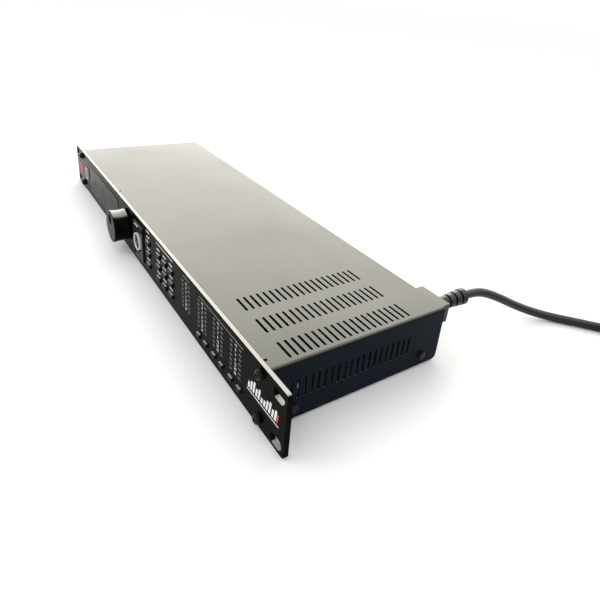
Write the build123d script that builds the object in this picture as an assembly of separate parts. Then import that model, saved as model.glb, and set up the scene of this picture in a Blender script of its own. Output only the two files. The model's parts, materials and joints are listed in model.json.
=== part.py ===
from build123d import *
import os
from math import tan, radians, pi

# One rack unit audio processor with a front microphone input, in millimetres.
# +X runs to the right of someone facing the front panel, +Y runs to the rear and +Z is up.
# The origin is under the middle of the unit, at the height of the front panel's lower edge.

# ---------------------------------------------------------------- front panel and chassis
panel_width = 482.6
panel_height = 43.7
panel_thickness = 3.0
panel_corner_radius = 3.0
panel_edge_bevel = 0.4
rack_slot_spacing_x = 465.1
rack_slot_spacing_z = 31.75
rack_slot_length = 11.5
rack_slot_height = 7.0
ear_width = 22.3
chassis_lift = 1.8
chassis_height = 41.6
body_depth = 138.9
sheet = 1.2
cover_bend_radius = 2.0
least_bend_radius = 0.2
cover_rear_corner_radius = 4.0
cover_panel_gap = 0.4
cover_notch_size = 2.0
cover_notch_places = (-71.6, 209.8)
sheet_clearance = 0.1
same_place = 0.01
tray_flange_height = 13.0

# ---------------------------------------------------------------- vents in the cover
top_vent_length = 15.5
top_vent_width = 1.8
top_vent_rows = (154.8, 180.8, 206.8)
vent_pitch = 4.8
vent_count = 20
top_vent_front_setback = 18.0
side_vent_height = 14.2
side_vent_width = 1.6
side_vent_centre_z = 22.9
side_vent_front_setback = 16.9

# ---------------------------------------------------------------- fasteners
screw_radius = 1.5
screw_clearance = 0.1
head_dome_share = 0.6
key_hole_share = 0.45
panel_screw_head_radius = 3.4
panel_screw_head_height = 3.0
panel_screw_place_x = 213.0
panel_screw_length = 7.5
cover_screw_head_radius = 3.0
cover_screw_head_height = 2.0
cover_screw_setbacks = (19.7, 123.0)
cover_screw_height = 10.0
cover_screw_length = 5.0
socket_screw_radius = 1.3
socket_screw_head_radius = 2.4
socket_screw_head_height = 1.0
board_screw_radius = 1.2
board_screw_head_radius = 2.4
board_screw_head_height = 1.6
board_screw_length = 4.0
spacer_radius = 2.8

# ---------------------------------------------------------------- display
display_left = -178.0
display_right = -66.0
display_bottom = 6.5
display_top = 37.5
display_corner_radius = 1.5
display_lens_thickness = 1.6
display_lens_stand = 0.3
display_seat_margin = 2.5
display_module_depth = 4.6
display_frame_width = 4.0
display_glass_setback = 0.8

# ---------------------------------------------------------------- service socket beside the display
service_socket_x = -191.0
service_socket_z = 24.0
service_socket_width = 9.6
service_socket_height = 11.4
service_socket_stand = 1.4
service_socket_depth = 16.0
service_socket_wall = 0.7
service_tongue_width = 3.4
service_tongue_height = 5.6
service_tongue_setback = 1.5

# ---------------------------------------------------------------- data knob and its encoder
knob_x = -38.5
knob_z = 23.8
knob_radius = 14.7
knob_waist_radius = 14.1
knob_waist_place = 8.4
knob_edge_radius = 1.0
knob_skirt_bevel = 0.6
knob_projection = 14.6
knob_panel_gap = 1.0
knob_dimple_radius = 11.0
knob_dimple_offset = 7.0
knob_dimple_depth = 1.5
knob_hollow_radius = 8.5
knob_hollow_depth = 5.0
encoder_shaft_radius = 3.0
encoder_running_fit = 0.05
encoder_bushing_radius = 4.5
encoder_bushing_stand = 4.0
encoder_nut_radius = 7.0
encoder_nut_thickness = 2.2
encoder_body_size = 13.0
encoder_body_depth = 5.4
encoder_plunger_rest = 1.6
knob_bore_floor = 3.4
encoder_plunger_radius = 5.0
encoder_plunger_thickness = 1.2

# ---------------------------------------------------------------- push buttons
function_button_width = 8.0
function_button_height = 4.6
function_button_columns = (22.0, 47.0, 60.8, 74.6)
function_button_rows = (31.1, 20.9, 10.7)
mute_button_width = 5.6
mute_button_height = 3.6
mute_button_z = 8.2
button_stand = 1.3
button_travel = 0.8
button_hole_gap = 0.25
button_flange_margin = 0.8
button_flange_thickness = 1.0
button_flange_gap = 0.4
button_corner_radius = 1.0
button_edge_radius = 0.4
button_stem_radius = 1.2
switch_body_size = 6.0
switch_body_depth = 1.6
switch_actuation_gap = 0.2

# ---------------------------------------------------------------- level meters
input_meter_x = 104.5
output_meters_x = (133.3, 158.0, 182.8)
meter_half_pitch = 5.7
meter_led_width = 3.2
meter_led_height = 1.5
meter_led_pitch = 3.4
meter_led_rows = 7
meter_lowest_z = 16.0
meter_led_hole_gap = 0.1
meter_led_stand = 0.15

# ---------------------------------------------------------------- front board
front_board_setback = 9.0
board_thickness = 1.6
front_board_left = -186.0
front_board_right = 197.0
front_board_margin = 3.0
front_board_end = 9.0
front_board_hole_rise = 13.0
wall_opening_margin = 2.8
wall_rib_x = -56.0
wall_rib_width = 8.0

# ---------------------------------------------------------------- three pole audio sockets
mic_socket_x = -3.5
socket_flange_width = 26.0
socket_flange_height = 33.0
socket_flange_thickness = 1.2
socket_flange_corner = 2.5
socket_barrel_radius = 11.8
socket_barrel_depth = 20.0
socket_cutout_gap = 0.3
socket_bore_depth = 14.0
female_bore_radius = 9.7
female_insert_radius = 6.9
female_ring_radius = 7.8
female_ring_stand = 2.4
female_ring_rounding = 0.3
female_insert_stand = 1.4
male_bore_radius = 8.2
contact_circle_radius = 4.0
contact_pin_radius = 1.2
contact_pin_rounding = 0.7
contact_hole_radius = 1.35
contact_hole_depth = 11.0
contact_pin_setback = 1.0
latch_width = 10.0
latch_height = 4.2
latch_bottom = 11.4
latch_stand = 2.4
latch_depth = 9.0
latch_travel = 1.0
latch_gap = 0.3
socket_screw_offset_x = 9.9
socket_screw_offset_z = 13.2
socket_screw_length = 6.0

# ---------------------------------------------------------------- rear panel
rear_socket_centre_z = 22.6
output_sockets_x = (138.0, 110.0, 82.0, 54.0, 26.0, -2.0)
input_sockets_x = (-40.0, -68.0)
network_jack_x = -112.0
network_jack_width = 16.2
network_jack_height = 13.6
network_jack_depth = 18.0
network_jack_stand = 0.8
network_bore_width = 12.0
network_bore_height = 8.2
network_bore_depth = 13.0
network_latch_width = 6.0
network_latch_height = 2.2
inlet_x = 200.0
inlet_z = 31.0
inlet_flange_width = 30.8
inlet_flange_height = 21.6
inlet_flange_thickness = 1.8
inlet_body_width = 27.4
inlet_body_height = 19.8
inlet_body_depth = 24.0
inlet_recess_width = 24.6
inlet_recess_height = 17.0
inlet_recess_depth = 16.0
inlet_recess_chamfer = 5.0
inlet_pin_width = 2.0
inlet_pin_height = 4.0
inlet_pin_length = 13.0
inlet_pin_spacing = 7.0
inlet_earth_rise = 3.8
switch_x = 166.0
switch_frame_width = 15.0
switch_frame_height = 21.0
switch_frame_thickness = 1.8
switch_frame_depth = 14.0
switch_frame_floor = 1.5
switch_frame_corner = 1.5
switch_opening_width = 10.4
switch_opening_height = 17.4
rocker_side_gap = 0.3
rocker_radius = 8.4
rocker_pivot_depth = 2.0
rocker_middle_stand = 1.0
rocker_back_depth = 4.0
rocker_tilt = 9.0
rocker_pin_radius = 1.2
rocker_pin_fit = 0.05
rocker_pin_reach = 1.0

# ---------------------------------------------------------------- boards behind the rear panel
board_height_above_tray = 6.0
main_board_left = -150.0
main_board_right = 128.0
supply_board_left = 140.0
supply_board_right = 212.0
board_front_setback = 26.0
board_rear_gap = 26.0
board_hole_inset = 5.0
transformer_size = (34.0, 30.0, 22.0)
transformer_bevel = 2.0
transformer_place = (178.0, 62.0)
capacitor_radius = 8.0
capacitor_height = 20.0
capacitor_places = ((149.5, 48.0), (149.5, 68.0), (200.0, 92.0))
chip_size = (18.0, 18.0, 2.4)
chip_places = ((-90.0, 60.0), (-40.0, 60.0), (10.0, 60.0), (60.0, 60.0), (90.0, 84.0))

# ---------------------------------------------------------------- mains lead
connector_clearance = 0.2
connector_nose_length = 14.0
connector_body_width = 27.0
connector_body_height = 19.0
connector_body_chamfer = 4.5
connector_body_length = 9.0
connector_taper_length = 7.0
relief_length = 25.0
relief_end_straight = 5.0
relief_ring_width = 1.2
relief_ring_rise = 0.3
relief_ring_bevel = 0.9
relief_groove_shift = 0.85
relief_start_radius = 4.8
relief_end_radius = 6.2
relief_groove_count = 3
relief_groove_width = 1.8
relief_groove_depth = 1.5
cord_diameter = 7.0
cord_floor_gap = 0.1
arc_run_share = 0.45
coil_step_x = 125.0
coil_step_y = 113.1
coil_inner_radius = 31.0
coil_layers = 3
coil_rows = 2
coil_rounding = 2.8
plug_relief_length = 28.0
plug_relief_tip_radius = 4.6
plug_relief_base_radius = 7.0
plug_body_length = 34.0
plug_body_width = 26.0
plug_body_height = 24.0
plug_face_thickness = 6.0
plug_corner = 6.0
plug_waist = 8.0
plug_pin_rounding = 1.2
plug_blade_width = 6.35
plug_blade_thickness = 1.5
plug_blade_length = 17.0
plug_blade_spacing = 12.7
plug_earth_radius = 2.4
plug_earth_length = 20.0
plug_earth_drop = 11.9

# ---------------------------------------------------------------- places worked out from the sizes above
rear_projection = latch_stand
overall_depth = knob_projection + body_depth + rear_projection
front_y = knob_projection - overall_depth / 2
panel_back_y = front_y + panel_thickness
wall_back_y = panel_back_y + sheet
rear_y = front_y + body_depth
rear_wall_y = rear_y - sheet
panel_middle_z = panel_height / 2
half_chassis = panel_width / 2 - ear_width
cover_inner_x = half_chassis - sheet
tray_x = cover_inner_x - sheet_clearance
chassis_top_z = chassis_lift + chassis_height
cover_inner_z = chassis_top_z - sheet
tray_top_z = cover_inner_z - sheet_clearance
floor_top_z = chassis_lift + sheet
front_board_y = front_y + front_board_setback
front_board_back_y = front_board_y + board_thickness
button_switch_y = front_board_y - switch_body_depth
board_z = floor_top_z + board_height_above_tray
board_top_z = board_z + board_thickness
display_middle_x = (display_left + display_right) / 2
display_middle_z = (display_bottom + display_top) / 2
display_width = display_right - display_left
display_height = display_top - display_bottom
panel_screw_zs = [panel_middle_z - rack_slot_spacing_z / 2, panel_middle_z + rack_slot_spacing_z / 2]
meter_columns = [centre + side * meter_half_pitch
                 for centre in (input_meter_x, *output_meters_x) for side in (-1, 1)]
mute_columns = [centre + side * meter_half_pitch for centre in output_meters_x for side in (-1, 1)]
coil_outer_radius = coil_inner_radius + coil_rows * cord_diameter
coil_turn_radius = coil_outer_radius - cord_diameter / 2
cord_radius = cord_diameter / 2
cord_low_z = cord_radius + cord_floor_gap


# ---------------------------------------------------------------- shape helpers
def block(x0, x1, y0, y1, z0, z1):
    """A box between three pairs of limits."""
    return Pos((x0 + x1) / 2, (y0 + y1) / 2, (z0 + z1) / 2) * Box(x1 - x0, y1 - y0, z1 - z0)


def facing_plane(x, y, z):
    """A sketch plane whose extrusion runs towards +Y; its own y axis points down."""
    return Plane(origin=(x, y, z), x_dir=(1, 0, 0), z_dir=(0, 1, 0))


def slab(x, z, width, height, corner, y0, y1):
    """A plate with rounded corners that faces along Y."""
    outline = facing_plane(x, y0, z) * RectangleRounded(width, height, corner)
    return extrude(outline, amount=y1 - y0)


def rod(x, z, radius, y0, y1):
    """A round bar along Y."""
    return extrude(facing_plane(x, y0, z) * Circle(radius), amount=y1 - y0)


def slot_cut(x, z, length, height, y0, y1):
    """A round ended slot that runs along X and is cut along Y."""
    return extrude(facing_plane(x, y0, z) * SlotOverall(length, height), amount=y1 - y0)


def join(pieces):
    """One shape that holds separate solids."""
    solids = []
    for piece in pieces:
        solids.extend(piece.solids())
    return Compound(children=solids)


def cut_all(shape, tools):
    """The shape with every tool taken out of it in one step."""
    return (shape - tools).solids().sort_by(SortBy.VOLUME)[-1]


# ---------------------------------------------------------------- sheet metal
def socket_cutout(x, z, y0, y1):
    """The hole that the barrel and the latch of an audio socket pass through."""
    width = latch_width + 4 * latch_gap
    top = latch_bottom + latch_height + 2 * latch_gap
    return (rod(x, z, socket_barrel_radius + socket_cutout_gap, y0, y1)
            + block(x - width / 2, x + width / 2, y0, y1, z, z + top))


def socket_screw_places(x, z, facing):
    """Two screws in opposite corners of a socket flange that faces -Y (-1) or +Y (1)."""
    return [(x - facing * side * socket_screw_offset_x, z + side * socket_screw_offset_z)
            for side in (-1, 1)]


def button_places():
    """Every push button: its name, middle and size."""
    places = []
    number = 0
    for z in function_button_rows:
        for x in function_button_columns:
            number += 1
            places.append((f"function_button_{number:02d}", x, z,
                           function_button_width, function_button_height))
    for index, x in enumerate(mute_columns):
        places.append((f"mute_button_{index + 1}", x, mute_button_z,
                       mute_button_width, mute_button_height))
    return places


def meter_places():
    """The middle of every level light."""
    return [(x, meter_lowest_z + row * meter_led_pitch)
            for x in meter_columns for row in range(meter_led_rows)]


def front_panel():
    """Thick rack panel with its ears, slots and openings."""
    panel = slab(0, panel_middle_z, panel_width, panel_height, panel_corner_radius, front_y, panel_back_y)
    face_edges = panel.faces().sort_by(Axis.Y)[0].edges()
    panel = chamfer(face_edges, panel_edge_bevel)
    y0 = front_y - 1
    y1 = panel_back_y + 1
    cuts = []
    for side in (-1, 1):
        for z in panel_screw_zs:
            cuts.append(slot_cut(side * rack_slot_spacing_x / 2, z, rack_slot_length, rack_slot_height,
                                 y0, y1))
            cuts.append(rod(side * panel_screw_place_x, z, screw_radius + screw_clearance, y0, y1))
    cuts.append(slab(display_middle_x, display_middle_z, display_width, display_height,
                     display_corner_radius, y0, front_y + display_lens_thickness - display_lens_stand))
    cuts.append(slab(display_middle_x, display_middle_z, display_width - 2 * display_seat_margin,
                     display_height - 2 * display_seat_margin, display_corner_radius, y0, y1))
    cuts.append(block(service_socket_x - service_socket_width / 2 - sheet_clearance,
                      service_socket_x + service_socket_width / 2 + sheet_clearance, y0, y1,
                      service_socket_z - service_socket_height / 2 - sheet_clearance,
                      service_socket_z + service_socket_height / 2 + sheet_clearance))
    cuts.append(rod(knob_x, knob_z, encoder_bushing_radius + screw_clearance, y0, y1))
    cuts.append(socket_cutout(mic_socket_x, panel_middle_z, y0, y1))
    for x, z in socket_screw_places(mic_socket_x, panel_middle_z, -1):
        cuts.append(rod(x, z, socket_screw_radius + screw_clearance, y0, y1))
    for _, x, z, width, height in button_places():
        cuts.append(slab(x, z, width + 2 * button_hole_gap, height + 2 * button_hole_gap,
                         button_corner_radius, y0, y1))
    half_width = meter_led_width / 2 + meter_led_hole_gap
    half_height = meter_led_height / 2 + meter_led_hole_gap
    for x, z in meter_places():
        cuts.append(block(x - half_width, x + half_width, y0, y1, z - half_height, z + half_height))
    return cut_all(panel, cuts)


def chassis_tray():
    """Folded sheet: floor, front wall, rear wall and two low side flanges."""
    tray = block(-tray_x, tray_x, panel_back_y, rear_y, chassis_lift, floor_top_z)
    for wall_start in (panel_back_y, rear_wall_y):
        wall = block(-tray_x, tray_x, wall_start, wall_start + sheet, chassis_lift, tray_top_z)
        top_corners = wall.edges().filter_by(Axis.Y).sort_by(Axis.Z)[-2:]
        tray += fillet(top_corners, cover_bend_radius)
    flange_top = floor_top_z + tray_flange_height
    for side in (-1, 1):
        inner, outer = sorted((side * (tray_x - sheet), side * tray_x))
        tray += block(inner, outer, panel_back_y, rear_y, chassis_lift, flange_top)
    y0 = panel_back_y - 1
    y1 = wall_back_y + 1
    mute_flange_bottom = mute_button_z - mute_button_height / 2 - button_flange_margin
    low = min(floor_top_z + wall_opening_margin, mute_flange_bottom - button_flange_gap)
    high = tray_top_z - wall_opening_margin
    openings = [
        (service_socket_x - service_socket_width / 2 - wall_opening_margin,
         wall_rib_x - wall_rib_width / 2),
        (wall_rib_x + wall_rib_width / 2, front_board_right),
    ]
    cuts = [block(left, right, y0, y1, low, high) for left, right in openings]
    for side in (-1, 1):
        for z in panel_screw_zs:
            cuts.append(rod(side * panel_screw_place_x, z, screw_radius + screw_clearance, y0, y1))
        for setback in cover_screw_setbacks:
            cuts.append(side_rod(side, setback, screw_radius + screw_clearance, 3 * sheet, 3 * sheet))
    r0 = rear_wall_y - 1
    r1 = rear_y + 1
    for x in (*output_sockets_x, *input_sockets_x):
        cuts.append(socket_cutout(x, rear_socket_centre_z, r0, r1))
        for screw_x, screw_z in socket_screw_places(x, rear_socket_centre_z, 1):
            cuts.append(rod(screw_x, screw_z, socket_screw_radius + screw_clearance, r0, r1))
    cuts.append(centred_block(network_jack_x, rear_socket_centre_z, network_jack_width,
                              network_jack_height, sheet_clearance, r0, r1))
    cuts.append(centred_block(inlet_x, inlet_z, inlet_body_width, inlet_body_height,
                              sheet_clearance, r0, r1))
    cuts.append(centred_block(switch_x, rear_socket_centre_z, switch_frame_width - 2,
                              switch_frame_height - 2, sheet_clearance, r0, r1))
    return cut_all(tray, cuts)


def centred_block(x, z, width, height, margin, y0, y1):
    """A box along Y about a middle line, grown by a margin."""
    return block(x - width / 2 - margin, x + width / 2 + margin, y0, y1,
                 z - height / 2 - margin, z + height / 2 + margin)


def side_rod(side, setback, radius, inward, outward):
    """A round bar along X through the side of the chassis at a cover screw."""
    start = side * (half_chassis + outward)
    plane = Plane(origin=(start, front_y + setback, cover_screw_height), z_dir=(-side, 0, 0))
    return extrude(plane * Circle(radius), amount=inward + outward)


def top_cover():
    """Folded sheet: top and both sides, with rows of vents."""
    y0 = panel_back_y + cover_panel_gap
    outer = block(-half_chassis, half_chassis, y0, rear_y, chassis_lift, chassis_top_z)
    top_edges = outer.edges().filter_by(Axis.Y).sort_by(Axis.Z)[-2:]
    outer = fillet(top_edges, cover_bend_radius)
    inner = block(-cover_inner_x, cover_inner_x, y0 - 1, rear_y + 1, chassis_lift - 1, cover_inner_z)
    inner_edges = inner.edges().filter_by(Axis.Y).sort_by(Axis.Z)[-2:]
    inner = fillet(inner_edges, max(cover_bend_radius - sheet, least_bend_radius))
    cover = outer - inner
    low_rear = [edge for edge in cover.edges().filter_by(Axis.X)
                if abs(edge.center().Y - rear_y) < same_place
                and abs(edge.center().Z - chassis_lift) < same_place]
    cover = fillet(low_rear, cover_rear_corner_radius)
    cuts = []
    for index in range(vent_count):
        y = front_y + top_vent_front_setback + index * vent_pitch
        for x in top_vent_rows:
            slot = SlotOverall(top_vent_length, top_vent_width)
            cuts.append(extrude(Plane.XY.offset(cover_inner_z - 1) * Pos(x, y) * slot, amount=sheet + 2))
        y = front_y + side_vent_front_setback + index * vent_pitch
        plane = Plane(origin=(-half_chassis - 1, y, side_vent_centre_z), x_dir=(0, 0, 1), z_dir=(1, 0, 0))
        slot = SlotOverall(side_vent_height, side_vent_width)
        cuts.append(extrude(plane * slot, amount=2 * half_chassis + 2))
    for x in cover_notch_places:
        cuts.append(block(x - cover_notch_size / 2, x + cover_notch_size / 2, y0 - 1, y0 + cover_notch_size,
                          cover_inner_z - 1, chassis_top_z + 1))
    for side in (-1, 1):
        for setback in cover_screw_setbacks:
            cuts.append(side_rod(side, setback, screw_radius + screw_clearance,
                                 sheet + sheet_clearance / 2, 1))
    return cut_all(cover, cuts)


# ---------------------------------------------------------------- fasteners
def button_head(x, z, face_y, outward, head_radius, head_height):
    """A domed screw head on a face, with a six sided key hole."""
    head = rod(x, z, head_radius, *sorted((face_y, face_y + outward * head_height)))
    rim = head.edges().filter_by(GeomType.CIRCLE).sort_by(Axis.Y)
    rim = rim[0] if outward < 0 else rim[-1]
    head = fillet(rim, head_height * head_dome_share)
    top = face_y + outward * head_height
    key_plane = facing_plane(x, min(top, top - outward * head_height / 2), z)
    key = extrude(key_plane * RegularPolygon(head_radius * key_hole_share, 6), amount=head_height / 2)
    return head - key


def panel_screws():
    """Four screws that hold the panel to the tray."""
    pieces = []
    for side in (-1, 1):
        for z in panel_screw_zs:
            x = side * panel_screw_place_x
            head = button_head(x, z, front_y, -1, panel_screw_head_radius, panel_screw_head_height)
            pieces.append(head + rod(x, z, screw_radius, front_y, front_y + panel_screw_length))
    return join(pieces)


def cover_screws():
    """Two pan head screws in each side of the cover."""
    pieces = []
    for side in (-1, 1):
        for setback in cover_screw_setbacks:
            head = side_rod(side, setback, cover_screw_head_radius, 0, cover_screw_head_height)
            rims = head.edges().filter_by(GeomType.CIRCLE).sort_by(Axis.X)
            head = fillet(rims[-1] if side > 0 else rims[0], cover_screw_head_height * head_dome_share)
            pieces.append(head + side_rod(side, setback, screw_radius, cover_screw_length, 0))
    return join(pieces)


def socket_screws():
    """Two small screws in the flange of every audio socket."""
    pieces = []
    for x, z in socket_screw_places(mic_socket_x, panel_middle_z, -1):
        face = front_y - socket_flange_thickness
        head = button_head(x, z, face, -1, socket_screw_head_radius, socket_screw_head_height)
        pieces.append(head + rod(x, z, socket_screw_radius, face, face + socket_screw_length))
    for socket_x in (*output_sockets_x, *input_sockets_x):
        for x, z in socket_screw_places(socket_x, rear_socket_centre_z, 1):
            face = rear_y + socket_flange_thickness
            head = button_head(x, z, face, 1, socket_screw_head_radius, socket_screw_head_height)
            pieces.append(head + rod(x, z, socket_screw_radius, face - socket_screw_length, face))
    return join(pieces)


# ---------------------------------------------------------------- display and service socket
def display_lens():
    """Smoked window set into the panel."""
    return slab(display_middle_x, display_middle_z, display_width - 2 * sheet_clearance,
                display_height - 2 * sheet_clearance, display_corner_radius,
                front_y - display_lens_stand, front_y + display_lens_thickness - display_lens_stand)


def display_module():
    """Metal framed display glass behind the window, on the front board."""
    low_y = panel_back_y + button_flange_gap
    frame = block(display_left + 1, display_right - 1, low_y, low_y + display_module_depth,
                  display_bottom + 1, display_top - 1)
    rim = display_frame_width + 1
    glass = block(display_left + rim, display_right - rim, low_y - 1, low_y + display_glass_setback,
                  display_bottom + rim, display_top - rim)
    return frame - glass


def service_socket():
    """Square metal socket with a plastic contact tongue."""
    y0 = front_y - service_socket_stand
    y1 = y0 + service_socket_depth
    wall = service_socket_wall
    shell = centred_block(service_socket_x, service_socket_z, service_socket_width,
                          service_socket_height, 0, y0, y1)
    bore = centred_block(service_socket_x, service_socket_z, service_socket_width,
                         service_socket_height, -wall, y0 - 1, y1 - wall)
    tongue = centred_block(service_socket_x, service_socket_z, service_tongue_width,
                           service_tongue_height, 0, y0 + service_tongue_setback, y1 - wall)
    return shell - bore + tongue


# ---------------------------------------------------------------- knob and encoder
def encoder_body():
    """Encoder housing with its threaded bushing and a hollow for the plunger."""
    back = front_board_y
    box = centred_block(knob_x, knob_z, encoder_body_size, encoder_body_size, 0,
                        back - encoder_body_depth, back)
    bushing = rod(knob_x, knob_z, encoder_bushing_radius, front_y - encoder_bushing_stand,
                  back - encoder_body_depth)
    bore = rod(knob_x, knob_z, encoder_shaft_radius + encoder_running_fit,
               front_y - encoder_bushing_stand - 1, back - encoder_body_depth + 1)
    hollow = rod(knob_x, knob_z, encoder_plunger_radius + 2 * encoder_running_fit,
                 back - encoder_body_depth + 1, back - 1)
    return box + bushing - bore - hollow


def encoder_nut():
    """Hexagon nut that clamps the encoder to the panel."""
    low_y = front_y - encoder_nut_thickness
    nut = extrude(facing_plane(knob_x, low_y, knob_z) * RegularPolygon(encoder_nut_radius, 6),
                  amount=encoder_nut_thickness)
    return nut - rod(knob_x, knob_z, encoder_bushing_radius + sheet_clearance, low_y - 1, front_y + 1)


def encoder_plunger():
    """Disc that the shaft pushes on; it slides in the encoder housing."""
    start = front_board_y - encoder_body_depth + encoder_plunger_rest
    return rod(knob_x, knob_z, encoder_plunger_radius, start, start + encoder_plunger_thickness)


def encoder_shaft():
    """Steel shaft from the plunger to the knob."""
    inner = front_board_y - encoder_body_depth + encoder_plunger_rest
    outer = front_y - knob_projection + knob_bore_floor
    return rod(knob_x, knob_z, encoder_shaft_radius, outer, inner)


def data_knob():
    """Turned knob with a slight waist, a finger dimple and a hollow back."""
    length = knob_projection - knob_panel_gap
    face_radius = knob_radius - knob_edge_radius
    with BuildPart() as turned:
        with BuildSketch(Plane.XY):
            with BuildLine():
                Line((0, 0), (face_radius, 0))
                RadiusArc((face_radius, 0), (knob_radius, knob_edge_radius), -knob_edge_radius)
                ThreePointArc((knob_radius, knob_edge_radius), (knob_waist_radius, knob_waist_place),
                              (knob_radius, length - knob_skirt_bevel))
                Line((knob_radius, length - knob_skirt_bevel), (knob_radius - knob_skirt_bevel, length))
                Line((knob_radius - knob_skirt_bevel, length), (0, length))
                Line((0, length), (0, 0))
            make_face()
        revolve(axis=Axis.Y)
    knob = Pos(knob_x, front_y - knob_projection, knob_z) * turned.part
    hollow = rod(knob_x, knob_z, knob_hollow_radius, front_y - knob_panel_gap - knob_hollow_depth, front_y)
    bore = rod(knob_x, knob_z, encoder_shaft_radius, front_y - knob_projection + knob_bore_floor, front_y)
    centre = (knob_x, front_y - knob_projection - knob_dimple_radius + knob_dimple_depth,
              knob_z + knob_dimple_offset)
    return knob - hollow - bore - Pos(*centre) * Sphere(knob_dimple_radius)


# ---------------------------------------------------------------- push buttons
def push_button(x, z, width, height):
    """Moulded cap, retaining flange and stem of one button."""
    flange_y = panel_back_y + button_flange_gap
    cap = slab(x, z, width, height, button_corner_radius, front_y - button_stand, flange_y)
    cap = fillet(cap.faces().sort_by(Axis.Y)[0].edges(), button_edge_radius)
    flange = slab(x, z, width + 2 * button_flange_margin, height + 2 * button_flange_margin,
                  button_corner_radius, flange_y, flange_y + button_flange_thickness)
    stem_end = button_switch_y - button_travel - switch_actuation_gap
    stem = rod(x, z, button_stem_radius, flange_y, stem_end)
    return cap + flange + stem


def button_switches():
    """Tact switch bodies on the front board, one behind each button."""
    pieces = []
    for _, x, z, _, height in button_places():
        tall = min(switch_body_size, height + 2 * button_flange_margin - button_hole_gap)
        pieces.append(centred_block(x, z, switch_body_size, tall, 0, button_switch_y, front_board_y))
    return join(pieces)


def meter_leds():
    """Level lights: one bar for each step of each meter."""
    pieces = []
    for x, z in meter_places():
        pieces.append(centred_block(x, z, meter_led_width, meter_led_height, 0,
                                    front_y - meter_led_stand, front_board_y))
    return join(pieces)


# ---------------------------------------------------------------- boards
def front_board_screw_places():
    """Corners and middle of the front board."""
    xs = (front_board_left - board_hole_inset, wall_rib_x, front_board_right + board_hole_inset)
    return [(x, panel_middle_z + side * front_board_hole_rise) for x in xs for side in (-1, 1)]


def front_board():
    """Control board behind the panel."""
    board = block(front_board_left - front_board_end, front_board_right + front_board_end, front_board_y,
                  front_board_back_y,
                  floor_top_z + front_board_margin, tray_top_z - front_board_margin)
    cuts = [rod(x, z, board_screw_radius + screw_clearance, front_board_y - 1, front_board_back_y + 1)
            for x, z in front_board_screw_places()]
    cuts.append(rod(mic_socket_x, panel_middle_z, socket_barrel_radius + 1.0,
                    front_board_y - 1, front_board_back_y + 1))
    cuts.append(centred_block(mic_socket_x, panel_middle_z + latch_bottom + latch_height / 2,
                              latch_width, latch_height, 1.0, front_board_y - 1, front_board_back_y + 1))
    cuts.append(centred_block(service_socket_x, service_socket_z, service_socket_width,
                              service_socket_height, 0.5, front_board_y - 1, front_board_back_y + 1))
    return cut_all(board, cuts)


def lower_board(left, right):
    """Board on spacers above the tray floor, with its four holes."""
    y0 = front_y + board_front_setback
    y1 = rear_y - board_rear_gap
    board = block(left, right, y0, y1, board_z, board_top_z)
    for x, y in lower_board_corners(left, right):
        board -= Pos(x, y, board_z) * Cylinder(board_screw_radius + screw_clearance, 3 * board_thickness)
    return board


def lower_board_corners(left, right):
    """Screw places of a board above the tray floor."""
    y0 = front_y + board_front_setback + board_hole_inset
    y1 = rear_y - board_rear_gap - board_hole_inset
    return [(x, y) for x in (left + board_hole_inset, right - board_hole_inset) for y in (y0, y1)]


def board_spacers():
    """Spacers under the two lower boards and behind the front wall."""
    pieces = []
    corners = lower_board_corners(main_board_left, main_board_right)
    corners += lower_board_corners(supply_board_left, supply_board_right)
    for x, y in corners:
        spacer = Pos(x, y, (floor_top_z + board_z) / 2) * Cylinder(spacer_radius, board_z - floor_top_z)
        pieces.append(spacer - Pos(x, y, board_z) * Cylinder(board_screw_radius + screw_clearance, board_z))
    for x, z in front_board_screw_places():
        spacer = rod(x, z, spacer_radius, wall_back_y, front_board_y)
        bore = rod(x, z, board_screw_radius + screw_clearance, wall_back_y + 1, front_board_y + 1)
        pieces.append(spacer - bore)
    return join(pieces)


def board_screws():
    """Screws that hold the boards on their spacers."""
    pieces = []
    corners = lower_board_corners(main_board_left, main_board_right)
    corners += lower_board_corners(supply_board_left, supply_board_right)
    for x, y in corners:
        head = Pos(x, y, board_top_z + board_screw_head_height / 2) * Cylinder(
            board_screw_head_radius, board_screw_head_height)
        shank_low = board_top_z - board_screw_length
        shank = Pos(x, y, (shank_low + board_top_z) / 2) * Cylinder(board_screw_radius, board_screw_length)
        pieces.append(head + shank)
    for x, z in front_board_screw_places():
        head = rod(x, z, board_screw_head_radius, front_board_back_y,
                   front_board_back_y + board_screw_head_height)
        pieces.append(head + rod(x, z, board_screw_radius, front_board_back_y - board_screw_length,
                                 front_board_back_y))
    return join(pieces)


def power_transformer():
    """Supply transformer on its board."""
    x, setback = transformer_place
    width, depth, height = transformer_size
    y = front_y + setback
    core = block(x - width / 2, x + width / 2, y - depth / 2, y + depth / 2,
                 board_top_z, board_top_z + height)
    return chamfer(core.edges().filter_by(Axis.Z), transformer_bevel)


def board_components():
    """Filter capacitors and main chips on the lower boards."""
    pieces = []
    for x, setback in capacitor_places:
        can = Cylinder(capacitor_radius, capacitor_height)
        pieces.append(Pos(x, front_y + setback, board_top_z + capacitor_height / 2) * can)
    for x, setback in chip_places:
        pieces.append(Pos(x, front_y + setback, board_top_z + chip_size[2] / 2) * Box(*chip_size))
    return join(pieces)


# ---------------------------------------------------------------- audio sockets
def place_socket(shape, x, z, face_y, facing):
    """Put a socket, made facing -Y at the origin, on the front or the rear face."""
    turn = 0 if facing < 0 else 180
    return Pos(x, face_y, z) * Rot(0, 0, turn) * shape


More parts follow.
